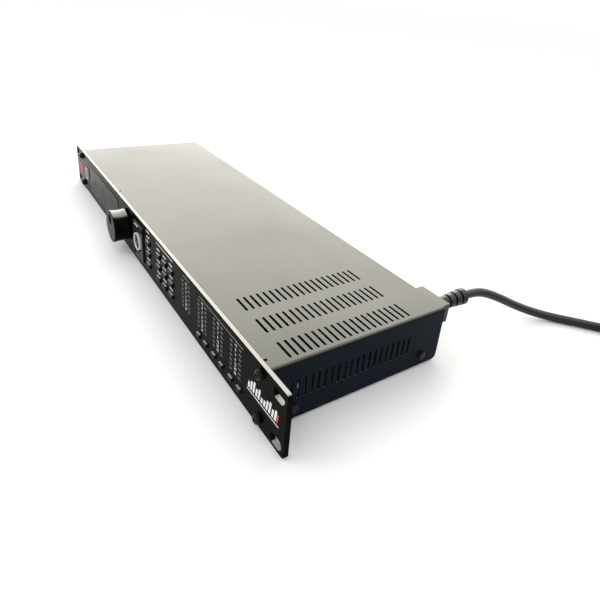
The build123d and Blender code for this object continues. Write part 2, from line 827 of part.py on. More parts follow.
def socket_body(bore_radius, bore_depth, with_latch):
    """Flange and barrel around a round bore, made facing -Y."""
    flange = slab(0, 0, socket_flange_width, socket_flange_height, socket_flange_corner,
                  -socket_flange_thickness, 0)
    barrel = rod(0, 0, socket_barrel_radius, 0, socket_barrel_depth)
    body = flange + barrel - rod(0, 0, bore_radius, -socket_flange_thickness - 1, bore_depth)
    for x, z in socket_screw_places(0, 0, -1):
        body -= rod(x, z, socket_screw_radius + screw_clearance, -socket_flange_thickness - 1, 1)
    if with_latch:
        body -= block(-latch_width / 2 - latch_gap, latch_width / 2 + latch_gap,
                      -socket_flange_thickness - 1, latch_depth + latch_travel + 1,
                      latch_bottom - latch_gap, latch_bottom + latch_height + latch_gap)
    return body


def female_insert():
    """Black contact carrier with three holes."""
    insert = rod(0, 0, female_insert_radius, -female_insert_stand, socket_bore_depth)
    for x, z in contact_places():
        insert -= rod(x, z, contact_hole_radius, -female_insert_stand - 1, contact_hole_depth)
    return insert


def contact_places():
    """Three contacts: left, right and below the middle."""
    return [(-contact_circle_radius, 0), (contact_circle_radius, 0), (0, -contact_circle_radius)]


def female_ring():
    """Metal ring round the contact carrier."""
    ring = rod(0, 0, female_ring_radius, -female_ring_stand, socket_bore_depth)
    ring -= rod(0, 0, female_insert_radius, -female_ring_stand - 1, socket_bore_depth + 1)
    lip = ring.edges().filter_by(GeomType.CIRCLE).group_by(Axis.Y)[0]
    return fillet(lip, female_ring_rounding)


def socket_latch():
    """Push tab that releases the plug."""
    tab = block(-latch_width / 2, latch_width / 2, -latch_stand, latch_depth,
                latch_bottom, latch_bottom + latch_height)
    return fillet(tab.faces().sort_by(Axis.Y)[0].edges(), 0.5)


def male_pins():
    """Three contact pins of an output socket."""
    pins = []
    for x, z in contact_places():
        pin = rod(x, z, contact_pin_radius, contact_pin_setback, socket_bore_depth)
        pins.append(fillet(pin.edges().filter_by(GeomType.CIRCLE).sort_by(Axis.Y)[0], contact_pin_rounding))
    return pins


def socket_nodes():
    """Every audio socket, front and rear."""
    mic = (mic_socket_x, panel_middle_z, front_y, -1)
    inputs = [(x, rear_socket_centre_z, rear_y, 1) for x in input_sockets_x]
    outputs = [(x, rear_socket_centre_z, rear_y, 1) for x in output_sockets_x]
    female = socket_body(female_bore_radius, socket_bore_depth, True)
    male = socket_body(male_bore_radius, socket_bore_depth, False)
    made = {
        "mic_socket_shell": place_socket(female, *mic),
        "mic_socket_latch": place_socket(socket_latch(), *mic),
        "input_socket_shells": join([place_socket(female, *place) for place in inputs]),
        "socket_inserts": join([place_socket(female_insert(), *place) for place in [mic, *inputs]]),
        "socket_rings": join([place_socket(female_ring(), *place) for place in [mic, *inputs]]),
        "output_sockets": join([place_socket(male, *place) for place in outputs]),
        "output_pins": join([place_socket(pin, *place) for place in outputs for pin in male_pins()]),
    }
    for index, place in enumerate(inputs):
        made[f"input_latch_{index + 1}"] = place_socket(socket_latch(), *place)
    return made


# ---------------------------------------------------------------- rear panel pieces
def network_jack():
    """Eight contact network jack."""
    y1 = rear_y + network_jack_stand
    y0 = y1 - network_jack_depth
    shell = centred_block(network_jack_x, rear_socket_centre_z, network_jack_width,
                          network_jack_height, 0, y0, y1)
    bore = centred_block(network_jack_x, rear_socket_centre_z, network_bore_width,
                         network_bore_height, 0, y1 - network_bore_depth, y1 + 1)
    low = rear_socket_centre_z - network_bore_height / 2
    keyway = block(network_jack_x - network_latch_width / 2, network_jack_x + network_latch_width / 2,
                   y1 - network_bore_depth, y1 + 1, low - network_latch_height, low)
    return shell - bore - keyway


def inlet_outline(width, height, corner_cut):
    """Rectangle with its two lower corners cut off, drawn with its own y axis down."""
    half_width = width / 2
    half_height = height / 2
    return make_face(Polyline(
        (-half_width, -half_height), (half_width, -half_height),
        (half_width, half_height - corner_cut), (half_width - corner_cut, half_height),
        (-half_width + corner_cut, half_height), (-half_width, half_height - corner_cut), close=True))


def inlet_prism(width, height, corner_cut, y0, y1):
    """The inlet outline as a bar along Y about the inlet's middle."""
    outline = inlet_outline(width, height, corner_cut)
    return extrude(facing_plane(inlet_x, y0, inlet_z) * outline, amount=y1 - y0)


def power_inlet():
    """Three pin mains inlet set into the rear wall."""
    face = rear_y + inlet_flange_thickness
    flange = slab(inlet_x, inlet_z, inlet_flange_width, inlet_flange_height, 2.0, rear_y, face)
    body = centred_block(inlet_x, inlet_z, inlet_body_width, inlet_body_height, 0,
                         rear_y - inlet_body_depth, rear_y)
    recess = inlet_prism(inlet_recess_width, inlet_recess_height, inlet_recess_chamfer,
                         face - inlet_recess_depth, face + 1)
    return flange + body - recess


def inlet_pin_places():
    """Live, neutral and earth."""
    return [(inlet_x - inlet_pin_spacing, inlet_z), (inlet_x + inlet_pin_spacing, inlet_z),
            (inlet_x, inlet_z + inlet_earth_rise)]


def inlet_pins():
    """Three flat pins in the inlet."""
    floor = rear_y + inlet_flange_thickness - inlet_recess_depth
    return join([centred_block(x, z, inlet_pin_width, inlet_pin_height, 0, floor, floor + inlet_pin_length)
                 for x, z in inlet_pin_places()])


def switch_pivot_y():
    """Depth of the rocker's pin."""
    return rear_y + switch_frame_thickness - rocker_pivot_depth


def switch_frame():
    """Snap-in frame of the mains switch."""
    face = rear_y + switch_frame_thickness
    flange = slab(switch_x, rear_socket_centre_z, switch_frame_width, switch_frame_height,
                  switch_frame_corner, rear_y, face)
    body = centred_block(switch_x, rear_socket_centre_z, switch_frame_width - 2, switch_frame_height - 2,
                         0, rear_y - switch_frame_depth, rear_y)
    opening = centred_block(switch_x, rear_socket_centre_z, switch_opening_width, switch_opening_height,
                            0, rear_y - switch_frame_depth + switch_frame_floor, face + 1)
    return flange + body - opening - rocker_pin(
        rocker_pin_radius + rocker_pin_fit, rocker_pin_reach + sheet_clearance)


def rocker_pin(radius, reach):
    """Cross pin of the rocker; it reaches into the frame on both sides."""
    half = switch_opening_width / 2 + reach
    plane = Plane(origin=(switch_x - half, switch_pivot_y(), rear_socket_centre_z), z_dir=(1, 0, 0))
    return extrude(plane * Circle(radius), amount=2 * half)


def power_rocker():
    """Rocker at its on stop: two shallow finger faces that meet over the pin."""
    half_width = switch_opening_width / 2 - rocker_side_gap
    pivot_y = switch_pivot_y()
    middle = rocker_pivot_depth + rocker_middle_stand
    rise = middle + rocker_radius * tan(radians(rocker_tilt))
    section = make_face(Polyline((-rocker_radius, -rocker_back_depth), (rocker_radius, -rocker_back_depth),
                                 (rocker_radius, rise), (0, middle), (-rocker_radius, rise), close=True))
    plane = Plane(origin=(switch_x - half_width, pivot_y, rear_socket_centre_z),
                  x_dir=(0, 0, 1), z_dir=(-1, 0, 0))
    outline = plane * (section & Circle(rocker_radius))
    body = extrude(outline, amount=-2 * half_width)
    rocker = body + rocker_pin(rocker_pin_radius, rocker_pin_reach)
    pivot = Axis((switch_x, pivot_y, rear_socket_centre_z), (1, 0, 0))
    return rocker.rotate(pivot, -rocker_tilt)


# ---------------------------------------------------------------- mains lead
def connector_start_y():
    """Where the connector's body begins, just clear of the inlet's flange."""
    return rear_y + inlet_flange_thickness + connector_clearance


def relief_start_y():
    """Where the strain relief begins."""
    return connector_start_y() + connector_body_length + connector_taper_length


def cord_exit_y():
    """Where the lead leaves the strain relief."""
    return relief_start_y() + relief_length


def inlet_connector():
    """Moulded connector in the inlet: nose, body, taper and ribbed strain relief."""
    start = connector_start_y()
    gap = 2 * connector_clearance
    nose = inlet_prism(inlet_recess_width - gap, inlet_recess_height - gap, inlet_recess_chamfer,
                       start - connector_nose_length, start)
    for x, z in inlet_pin_places():
        nose -= centred_block(x, z, inlet_pin_width, inlet_pin_height, connector_clearance,
                              start - connector_nose_length - 1, start + 1)
    body = inlet_prism(connector_body_width, connector_body_height, connector_body_chamfer,
                       start, start + connector_body_length)
    body_end = start + connector_body_length
    front = facing_plane(inlet_x, body_end, inlet_z) * RectangleRounded(
        connector_body_width - 2, connector_body_height - 2, connector_body_chamfer)
    back = facing_plane(inlet_x, relief_start_y(), inlet_z) * Circle(relief_start_radius)
    taper = loft([front, back])
    return nose + body + taper + strain_relief()


def strain_relief():
    """Tapered sleeve that widens to its end ring, with three open grooves."""
    start = relief_start_y()
    profile = make_face(Polyline((0, 0), (relief_start_radius, 0),
                                 (relief_end_radius, relief_length - relief_end_straight),
                                 (relief_end_radius + relief_ring_rise, relief_length - relief_ring_width),
                                 (relief_end_radius - relief_ring_bevel, relief_length),
                                 (0, relief_length), close=True))
    sleeve = Pos(inlet_x, start, inlet_z) * revolve(profile, axis=Axis.Y)
    pitch = relief_length / (relief_groove_count + 1)
    for index in range(relief_groove_count):
        reach = pitch * (index + relief_groove_shift)
        y = start + reach
        core = relief_start_radius + (relief_end_radius - relief_start_radius) * reach / relief_length
        ring = rod(inlet_x, inlet_z, relief_end_radius + 2, y, y + relief_groove_width)
        ring -= rod(inlet_x, inlet_z, core - relief_groove_depth, y - 1, y + relief_groove_width + 1)
        sleeve -= ring
    return sleeve


def cord_route():
    """Points of the lead, chosen by hand: steps from the end of the strain relief, and heights."""
    steps = [
        (0.0, 0.0, inlet_z),
        (0.0, 13.0, inlet_z),
        (3.0, 25.5, 28.2),
        (7.0, 40.0, 21.6),
        (11.2, 55.0, 13.6),
        (18.0, 70.5, 7.0),
        (28.8, 84.0, 3.8),
        (42.5, 96.5, cord_low_z),
        (59.0, 110.0, cord_low_z),
        (79.0, 127.6, cord_low_z),
        (98.8, 145.3, cord_low_z),
    ]
    return [(inlet_x + x, cord_exit_y() + y, z) for x, y, z in steps]


def coil_centre():
    """Middle of the coil, beside the end of the lead's free stretch."""
    return inlet_x + coil_step_x, cord_exit_y() + coil_step_y


def plug_route():
    """Points of the short tail, chosen by hand: steps from where it leaves the coil, and heights."""
    x, y = coil_centre()
    steps = [
        (0.0, 0.0, 17.6),
        (2.0, -10.0, 16.8),
        (5.0, -20.0, 14.6),
        (6.0, -31.0, 13.2),
        (6.0, -40.0, 13.2),
    ]
    return [(x + coil_turn_radius + step_x, y + step_y, z) for step_x, step_y, z in steps]


def route_radii(points):
    """Arc radius at each inner point: a share of the shorter run over the tangent of half the turn."""
    radii = []
    for before, here, after in zip(points, points[1:], points[2:]):
        first = Vector(*here) - Vector(*before)
        second = Vector(*after) - Vector(*here)
        turn = radians(first.get_angle(second))
        radii.append(arc_run_share * min(first.length, second.length) / tan(turn / 2))
    return radii


def cord_tube(points, label):
    """Straight runs joined by tangent arcs, swept with the cord's round section."""
    radii = route_radii(points)
    path = FilletPolyline(*points, radius=radii)
    start = Vector(*points[0])
    direction = Vector(*points[1]) - start
    tube = sweep(Plane(origin=start, z_dir=direction) * Circle(cord_radius), path=path)
    expected = pi * cord_radius ** 2 * path.length
    print(label, "radii", [round(r, 1) for r in radii])
    print(label, "length", round(path.length, 1))
    print(label, "volume", round(tube.volume, 1), "expected", round(expected, 1))
    return tube


def mains_cord():
    """Lead from the strain relief to the coil and from the coil to the plug."""
    return join([cord_tube(cord_route(), "lead"), cord_tube(plug_route(), "tail")])


def cord_coil():
    """Outer shape of the wound part of the lead."""
    height = coil_layers * cord_diameter
    ring = Cylinder(coil_outer_radius, height) - Cylinder(coil_inner_radius, height + 2)
    ring = fillet(ring.edges().filter_by(GeomType.CIRCLE), coil_rounding)
    return Pos(*coil_centre(), cord_floor_gap + height / 2) * ring


def plug_place():
    """End of the lead's tail: where the plug's sleeve starts."""
    return Vector(*plug_route()[-1])


def mains_plug():
    """Moulded mains plug: sleeve, grip and flat face, lying with its face towards -Y."""
    start = plug_place()
    back = Plane(origin=(start.X, start.Y, start.Z), x_dir=(1, 0, 0), z_dir=(0, -1, 0))
    sleeve = loft([back * Circle(plug_relief_tip_radius),
                   back.offset(plug_relief_length) * Circle(plug_relief_base_radius)])
    grip = loft([back.offset(plug_relief_length) * RectangleRounded(
                     plug_body_width - plug_waist, plug_body_height - plug_waist, plug_corner),
                 back.offset(plug_relief_length + plug_body_length - plug_face_thickness) * RectangleRounded(
                     plug_body_width, plug_body_height, plug_corner)])
    face = extrude(back.offset(plug_relief_length + plug_body_length - plug_face_thickness)
                   * RectangleRounded(plug_body_width, plug_body_height, plug_corner),
                   amount=plug_face_thickness)
    return sleeve + grip + face


def plug_pins():
    """Two flat blades and a round earth pin."""
    start = plug_place()
    face_y = start.Y - plug_relief_length - plug_body_length
    upper = start.Z + plug_earth_drop / 3
    blades = [centred_block(start.X + side * plug_blade_spacing / 2, upper, plug_blade_thickness,
                            plug_blade_width, 0, face_y - plug_blade_length, face_y) for side in (-1, 1)]
    earth_z = upper - plug_earth_drop
    earth = rod(start.X, earth_z, plug_earth_radius, face_y - plug_earth_length, face_y)
    tip = earth.edges().filter_by(GeomType.CIRCLE).sort_by(Axis.Y)[0]
    return join([*blades, fillet(tip, plug_pin_rounding)])


# ---------------------------------------------------------------- every node
nodes = {
    "chassis_tray": chassis_tray(),
    "top_cover": top_cover(),
    "front_panel": front_panel(),
    "panel_screws": panel_screws(),
    "cover_screws": cover_screws(),
    "socket_screws": socket_screws(),
    "display_lens": display_lens(),
    "display_module": display_module(),
    "service_socket": service_socket(),
    "encoder_body": encoder_body(),
    "encoder_nut": encoder_nut(),
    "encoder_plunger": encoder_plunger(),
    "encoder_shaft": encoder_shaft(),
    "data_knob": data_knob(),
    "button_switches": button_switches(),
    "meter_leds": meter_leds(),
    "front_board": front_board(),
    "main_board": lower_board(main_board_left, main_board_right),
    "power_supply_board": lower_board(supply_board_left, supply_board_right),
    "board_spacers": board_spacers(),
    "board_screws": board_screws(),
    "power_transformer": power_transformer(),
    "board_components": board_components(),
    "network_jack": network_jack(),
    "power_inlet": power_inlet(),
    "inlet_pins": inlet_pins(),
    "switch_frame": switch_frame(),
    "power_rocker": power_rocker(),
    "inlet_connector": inlet_connector(),
    "mains_cord": mains_cord(),
    "cord_coil": cord_coil(),
    "mains_plug": mains_plug(),
    "plug_pins": plug_pins(),
}
nodes.update(socket_nodes())
for name, x, z, width, height in button_places():
    nodes[name] = push_button(x, z, width, height)

os.makedirs("parts", exist_ok=True)
for name, shape in nodes.items():
    export_step(shape, f"parts/{name}.step")
print(len(nodes), "nodes")
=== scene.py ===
import json
from math import cos, sin, pi, radians
import bmesh
import bpy
from mathutils import Matrix, Vector


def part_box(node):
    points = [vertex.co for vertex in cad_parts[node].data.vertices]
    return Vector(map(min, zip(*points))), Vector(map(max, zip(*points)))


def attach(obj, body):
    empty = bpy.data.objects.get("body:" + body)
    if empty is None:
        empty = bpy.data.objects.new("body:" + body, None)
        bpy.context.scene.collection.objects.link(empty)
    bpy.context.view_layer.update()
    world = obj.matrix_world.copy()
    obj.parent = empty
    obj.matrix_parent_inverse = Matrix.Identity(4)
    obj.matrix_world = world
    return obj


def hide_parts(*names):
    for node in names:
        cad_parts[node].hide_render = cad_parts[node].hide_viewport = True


# Looks of a one-unit rack audio processor, in metres, in the frame of its CAD model:
# +X to the right of someone facing the panel, +Y to the rear, +Z up.
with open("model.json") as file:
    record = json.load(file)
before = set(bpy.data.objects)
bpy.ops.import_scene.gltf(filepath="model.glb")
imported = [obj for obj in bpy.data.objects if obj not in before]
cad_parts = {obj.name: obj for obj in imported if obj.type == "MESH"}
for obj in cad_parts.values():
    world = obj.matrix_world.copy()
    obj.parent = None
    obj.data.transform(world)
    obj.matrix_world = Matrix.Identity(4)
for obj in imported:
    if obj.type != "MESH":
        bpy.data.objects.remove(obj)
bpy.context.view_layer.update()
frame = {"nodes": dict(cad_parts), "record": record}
nodes = frame["nodes"]

MM = 0.001
face_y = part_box("front_panel")[0].y


# ------------------------------------------------------------------ camera
CAMERA_FROM_PANEL = Vector((0.402507, -0.113532, 0.224058))
CAMERA_RIGHT = Vector((0.56195, 0.82212, 0.09131))
CAMERA_UP = Vector((-0.39129, 0.16694, 0.905))
CAMERA_BACK = Vector((0.72877, -0.54429, 0.4155))


def make_camera():
    """The viewer stands off the right end of the panel and looks along it to the far rear corner."""
    data = bpy.data.cameras.new("camera")
    data.sensor_width = 36.0
    data.lens = 30.637
    data.shift_x = -0.0272
    data.shift_y = -0.1084
    camera = bpy.data.objects.new("camera", data)
    bpy.context.scene.collection.objects.link(camera)
    turn = Matrix((CAMERA_RIGHT, CAMERA_UP, CAMERA_BACK)).transposed()
    place = Vector((0, face_y, 0)) + CAMERA_FROM_PANEL
    camera.matrix_world = Matrix.Translation(place) @ turn.to_4x4()
    bpy.context.scene.camera = camera
    return camera


make_camera()

# ------------------------------------------------------------------ mains lead
cord_diameter = 7.0 * MM
relief_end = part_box("inlet_connector")[1]
cord_exit = Vector((0.200, relief_end.y, 0.031))
coil_low, coil_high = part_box("cord_coil")
coil_middle = (coil_low + coil_high) / 2
coil_outer = (coil_high.x - coil_low.x) / 2 - cord_diameter / 2
coil_inner = coil_outer - cord_diameter
POINTS_PER_TURN = 18
SHIFT_POINTS = 3
ENTRY_ANGLE = 129.1
TURNS = ((coil_outer, 3.6), (coil_inner, 3.6), (coil_inner, 10.6), (coil_outer, 10.6),
         (coil_inner, 17.6), (coil_outer, 17.6))


def lead_points():
    """The free stretch from the strain relief to the coil, as in the CAD model's route."""
    steps = (
        (0.0, 0.0, 31.0), (0.0, 13.0, 31.0), (3.0, 25.5, 28.2), (7.0, 40.0, 21.6), (11.2, 55.0, 13.6),
        (18.0, 70.5, 7.0), (28.8, 84.0, 3.8), (42.5, 96.5, 3.6), (59.0, 110.0, 3.6), (79.0, 127.6, 3.6),
        (98.8, 145.3, 3.6),
    )
    return [Vector((cord_exit.x + x * MM, cord_exit.y + y * MM, z * MM)) for x, y, z in steps]


def coil_points():
    """About 5.4 turns, outer and inner rows, each turn lying beside or on the one before."""
    whole = (len(TURNS) - 1) * POINTS_PER_TURN
    count = whole + int(round(ENTRY_ANGLE / 360 * POINTS_PER_TURN))
    points = []
    for index in range(1, count):
        turn, step = divmod(index, POINTS_PER_TURN)
        radius, height = TURNS[min(turn, len(TURNS) - 1)]
        left = POINTS_PER_TURN - step
        if left <= SHIFT_POINTS and turn + 1 < len(TURNS):
            next_radius, next_height = TURNS[turn + 1]
            share = 1 - left / (SHIFT_POINTS + 1)
            radius += (next_radius - radius) * share
            height += (next_height - height) * share
        angle = radians(ENTRY_ANGLE * (1 - index / count) - 360 * (len(TURNS) - 1) * index / count)
        points.append(Vector((coil_middle.x + radius * cos(angle), coil_middle.y + radius * sin(angle),
                              height * MM)))
    return points


def tail_points():
    """The short tail from the coil to the plug, as in the CAD model's route."""
    steps = ((0.0, 0.0, 17.6), (2.0, -10.0, 16.8), (5.0, -20.0, 14.6), (6.0, -31.0, 13.2), (6.0, -40.0, 13.2))
    start = Vector((coil_middle.x + coil_outer, coil_middle.y, 0))
    return [start + Vector((x * MM, y * MM, z * MM)) for x, y, z in steps]


def make_cord():
    """One smooth spline from the strain relief through the coil to the plug."""
    points = lead_points() + coil_points() + tail_points()
    curve = bpy.data.curves.new("mains_lead", "CURVE")
    curve.dimensions = "3D"
    curve.bevel_depth = 1.0
    curve.bevel_resolution = 8
    curve.resolution_u = 6
    curve.use_fill_caps = True
    spline = curve.splines.new("NURBS")
    spline.points.add(len(points) - 1)
    for point, place in zip(spline.points, points):
        point.co = (*place, 1.0)
        point.radius = cord_diameter / 2
    spline.order_u = 3
    spline.use_endpoint_u = True
    cord = bpy.data.objects.new("mains_lead", curve)
    bpy.context.scene.collection.objects.link(cord)
    return cord


cord = make_cord()
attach(cord, "root")
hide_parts("mains_cord", "cord_coil")
TIE_ANGLE = 215
TIE_WIDTH = 4.8 * MM
TIE_THICKNESS = 0.9 * MM


# ------------------------------------------------------------------ mesh helpers
def new_piece(name, mesh, body, material):
    """A finished mesh that moves with a body."""
    piece = bpy.data.objects.new(name, mesh)
    bpy.context.scene.collection.objects.link(piece)
    piece.data.materials.append(material)
    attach(piece, body)
    return piece


def add_bar(bm, centre, size, lean=0.0):
    """A thin raised bar on the panel; lean slides its top to the right."""
    made = bmesh.ops.create_cube(bm, size=1.0)
    for vert in made["verts"]:
        x, y, z = vert.co
        vert.co = (centre[0] + x * size[0] + z * size[2] * lean, centre[1] + y * size[1],
                   centre[2] + z * size[2])
    return made["verts"]


def mesh_from(bm, name):
    """Turns a bmesh into a named mesh and frees it."""
    mesh = bpy.data.meshes.new(name)
    bm.to_mesh(mesh)
    bm.free()
    return mesh


# ------------------------------------------------------------------ shader groups
def new_group(name, inputs, outputs):
    """An empty shader group with float inputs (name, value) and typed outputs (name, kind)."""
    group = bpy.data.node_groups.new(name, "ShaderNodeTree")
    for label, value in inputs:
        socket = group.interface.new_socket(name=label, in_out="INPUT", socket_type="NodeSocketFloat")
        socket.default_value = value
    for label, kind in outputs:
        group.interface.new_socket(name=label, in_out="OUTPUT", socket_type=kind)
    ends = group.nodes.new("NodeGroupInput"), group.nodes.new("NodeGroupOutput")
    return group, ends[0], ends[1]


def wire(tree, source, target):
    """Links an output socket to an input socket."""
    tree.links.new(source, target)


def make_grain_group():
    """Fine moulded or sprayed texture: a height for bumps and a slow mask for patches."""
    group, start, end = new_group("fine_grain", (("Scale", 900.0), ("Patch Scale", 14.0)),
                                  (("Height", "NodeSocketFloat"), ("Patches", "NodeSocketFloat")))
    place = group.nodes.new("ShaderNodeTexCoord")
    fine = group.nodes.new("ShaderNodeTexNoise")
    fine.inputs["Detail"].default_value = 3.0
    slow = group.nodes.new("ShaderNodeTexNoise")
    slow.inputs["Detail"].default_value = 4.0
    slow.inputs["Roughness"].default_value = 0.6
    wire(group, place.outputs["Object"], fine.inputs["Vector"])
    wire(group, place.outputs["Object"], slow.inputs["Vector"])
    wire(group, start.outputs["Scale"], fine.inputs["Scale"])
    wire(group, start.outputs["Patch Scale"], slow.inputs["Scale"])
    wire(group, fine.outputs["Fac"], end.inputs["Height"])
    wire(group, slow.outputs["Fac"], end.inputs["Patches"])
    return group


def make_scuff_group():
    """Sparse fine scratches and dust specks as one mask."""
    group, start, end = new_group("scuffs", (("Scale", 60.0), ("Amount", 0.5)),
                                  (("Mask", "NodeSocketFloat"),))
    place = group.nodes.new("ShaderNodeTexCoord")
    stretch = group.nodes.new("ShaderNodeMapping")
    stretch.inputs["Scale"].default_value = (1.0, 9.0, 3.0)
    stretch.inputs["Rotation"].default_value = (0.3, 0.2, 0.5)
    lines = group.nodes.new("ShaderNodeTexNoise")
    lines.inputs["Detail"].default_value = 6.0
    ramp = group.nodes.new("ShaderNodeValToRGB")
    ramp.color_ramp.elements[0].position = 0.62
    ramp.color_ramp.elements[1].position = 0.78
    level = group.nodes.new("ShaderNodeMath")
    level.operation = "MULTIPLY"
    wire(group, place.outputs["Object"], stretch.inputs["Vector"])
    wire(group, stretch.outputs["Vector"], lines.inputs["Vector"])
    wire(group, start.outputs["Scale"], lines.inputs["Scale"])
    wire(group, lines.outputs["Fac"], ramp.inputs["Fac"])
    wire(group, ramp.outputs["Color"], level.inputs[0])
    wire(group, start.outputs["Amount"], level.inputs[1])
    wire(group, level.outputs["Value"], end.inputs["Mask"])
    return group


def make_upward_sheen_group():
    """Painted sheen on surfaces that face up: a patchy mask that fades out on walls, used to paint those
    faces lighter as if lit from above.
    """
    group, start, end = new_group("upward_sheen",
                                  (("Amount", 1.0), ("Scale", 9.0), ("Start", 0.45), ("Full", 0.95)),
                                  (("Mask", "NodeSocketFloat"),))
    place = group.nodes.new("ShaderNodeTexCoord")
    parts = group.nodes.new("ShaderNodeSeparateXYZ")
    facing = group.nodes.new("ShaderNodeMapRange")
    facing.interpolation_type = "SMOOTHSTEP"
    wire(group, start.outputs["Start"], facing.inputs["From Min"])
    wire(group, start.outputs["Full"], facing.inputs["From Max"])
    clouds = group.nodes.new("ShaderNodeTexNoise")
    clouds.inputs["Detail"].default_value = 5.0
    spread = group.nodes.new("ShaderNodeMapRange")
    spread.inputs["From Min"].default_value = 0.25
    spread.inputs["From Max"].default_value = 0.75
    spread.inputs["To Min"].default_value = 0.75
    patchy = group.nodes.new("ShaderNodeMath")
    patchy.operation = "MULTIPLY"
    level = group.nodes.new("ShaderNodeMath")
    level.operation = "MULTIPLY"
    wire(group, place.outputs["Normal"], parts.inputs["Vector"])
    wire(group, parts.outputs["Z"], facing.inputs["Value"])
    wire(group, place.outputs["Object"], clouds.inputs["Vector"])
    wire(group, start.outputs["Scale"], clouds.inputs["Scale"])
    wire(group, clouds.outputs["Fac"], spread.inputs["Value"])
    wire(group, facing.outputs["Result"], patchy.inputs[0])
    wire(group, spread.outputs["Result"], patchy.inputs[1])
    wire(group, patchy.outputs["Value"], level.inputs[0])
    wire(group, start.outputs["Amount"], level.inputs[1])
    wire(group, level.outputs["Value"], end.inputs["Mask"])
    return group


grain_group = make_grain_group()
upward_sheen_group = make_upward_sheen_group()
scuff_group = make_scuff_group()


def place_group(tree, group, **values):
    """Adds a shader group to a material and sets its inputs."""
    node = tree.nodes.new("ShaderNodeGroup")
    node.node_tree = group
    for label, value in values.items():
        node.inputs[label.replace("_", " ")].default_value = value
    return node


def finish_material(name, colour, worn_colour, rough=(0.35, 0.5), grain=900.0, patch=14.0, bump=0.1,
                    bump_distance=0.00004, scuff_scale=60.0, scuff_amount=0.4, metallic=0.0,
                    specular=0.5, sheen=0.0, sheen_roughness=0.4, sheen_colour=(0.07, 0.069, 0.062),
                    sheen_start=0.45, sheen_full=0.95):
    """One finish: its colour drifts towards a worn colour in scuffs, its roughness in patches. With the
    up-facing layer on, surfaces that face up are painted lighter and take a clear coat: a painted sheen
    standing in for the light they catch."""
    material = bpy.data.materials.new(name)
    material.use_nodes = True
    tree = material.node_tree
    shader = tree.nodes["Principled BSDF"]
    shader.inputs["Metallic"].default_value = metallic
    shader.inputs["Specular IOR Level"].default_value = specular
    grains = place_group(tree, grain_group, Scale=grain, Patch_Scale=patch)
    scuffs = place_group(tree, scuff_group, Scale=scuff_scale, Amount=scuff_amount)
    mix = tree.nodes.new("ShaderNodeMix")
    mix.data_type = "RGBA"
    mix.inputs["A"].default_value = (*colour, 1)
    mix.inputs["B"].default_value = (*worn_colour, 1)
    wire(tree, scuffs.outputs["Mask"], mix.inputs["Factor"])
    colour_out = mix.outputs["Result"]
    # Painted sheen: faces that look up are mixed towards a lighter colour and given a coat, standing in for
    # light they catch.
    if sheen > 0:
        shader.inputs["Coat Roughness"].default_value = sheen_roughness
        upward_sheen = place_group(tree, upward_sheen_group, Amount=sheen, Start=sheen_start, Full=sheen_full)
        sheened_colour = tree.nodes.new("ShaderNodeMix")
        sheened_colour.data_type = "RGBA"
        sheened_colour.inputs["B"].default_value = (*sheen_colour, 1)
        wire(tree, upward_sheen.outputs["Mask"], sheened_colour.inputs["Factor"])
        wire(tree, colour_out, sheened_colour.inputs["A"])
        wire(tree, upward_sheen.outputs["Mask"], shader.inputs["Coat Weight"])
        colour_out = sheened_colour.outputs["Result"]
    wire(tree, colour_out, shader.inputs["Base Color"])
    spread = tree.nodes.new("ShaderNodeMapRange")
    spread.inputs["From Min"].default_value = 0.3
    spread.inputs["From Max"].default_value = 0.7
    spread.inputs["To Min"].default_value = rough[0]
    spread.inputs["To Max"].default_value = rough[1]
    wire(tree, grains.outputs["Patches"], spread.inputs["Value"])
    wire(tree, spread.outputs["Result"], shader.inputs["Roughness"])
    bumps = tree.nodes.new("ShaderNodeBump")
    bumps.inputs["Strength"].default_value = bump
    bumps.inputs["Distance"].default_value = bump_distance
    wire(tree, grains.outputs["Height"], bumps.inputs["Height"])
    wire(tree, bumps.outputs["Normal"], shader.inputs["Normal"])
    return material
